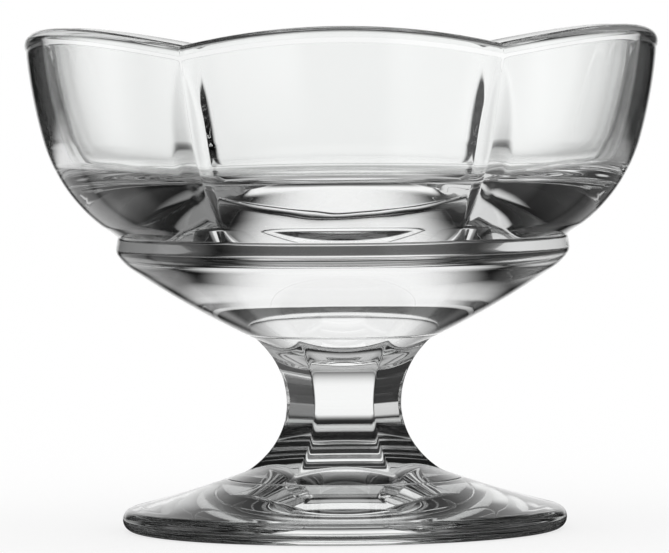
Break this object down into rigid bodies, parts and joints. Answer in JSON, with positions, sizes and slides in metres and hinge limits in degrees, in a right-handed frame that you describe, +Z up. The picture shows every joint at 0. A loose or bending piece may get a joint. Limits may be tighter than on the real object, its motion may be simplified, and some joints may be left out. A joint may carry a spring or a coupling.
{
  "type": "footed dessert glass",
  "caption": "Low footed glass cup with a petal-shaped bowl, arched rim, thick floor, faceted waisted stem and round foot.",
  "frame": {"origin": "centre of the flat ring under the foot that the glass rests on", "axes": "+Z up along the glass's own axis; one petal of the bowl faces -Y, and creases between petals lie on +X and -X"},
  "size_m": [0.1178, 0.122, 0.0946],
  "materials": {
    "bowl_glass": "clear, fire-polished",
    "stem_glass": "clear, fire-polished",
    "foot_glass": "clear, fire-polished"
  },
  "bodies": {
    "root": {"bowl": "bowl_glass", "stem": "stem_glass", "foot": "foot_glass"}
  },
  "joints": []
}
